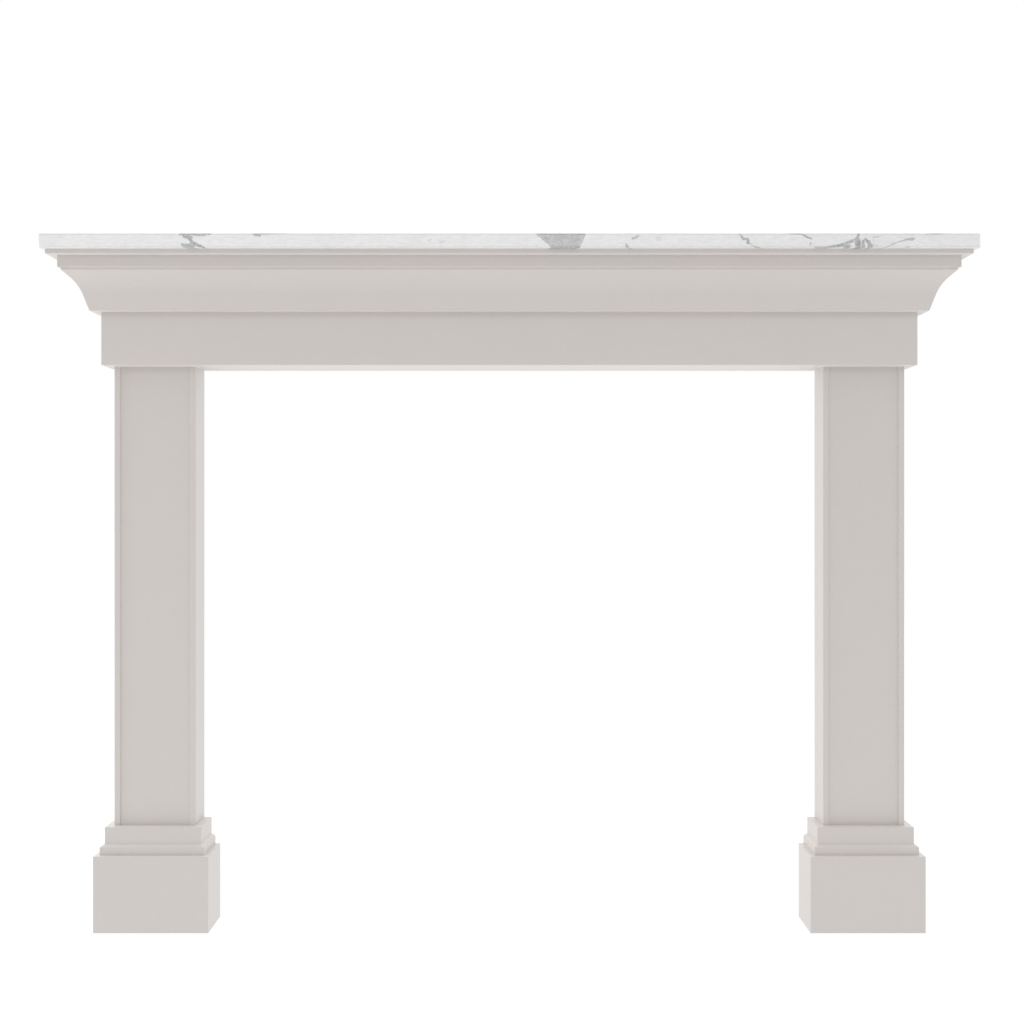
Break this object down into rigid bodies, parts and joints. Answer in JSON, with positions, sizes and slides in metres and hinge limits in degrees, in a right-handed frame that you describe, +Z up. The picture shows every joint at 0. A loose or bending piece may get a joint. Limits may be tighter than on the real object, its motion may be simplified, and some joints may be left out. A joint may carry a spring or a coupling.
{
  "type": "fireplace mantelpiece",
  "caption": "Fireplace surround: flat marble shelf on a returned cove cornice, plain frieze beam, and sunk-panel legs on moulded plinths around an open hearth.",
  "frame": {"origin": "on the floor, at the middle of the outline seen from above: midway along the shelf, and midway between the wall plane and the front edge of the shelf", "axes": "+X along the shelf to the viewer's right, +Y into the wall, +Z up; the front faces -Y"},
  "size_m": [1.82, 0.2014, 1.3805],
  "materials": {
    "stone": "honed matt, warm pale grey, very fine even grain",
    "marble": "white with soft grey veins, honed, eased arrises"
  },
  "bodies": {
    "root": {"shelf": "marble", "cornice": "stone", "frieze": "stone", "left_leg": "stone", "right_leg": "stone", "left_plinth": "stone", "right_plinth": "stone"}
  },
  "joints": []
}
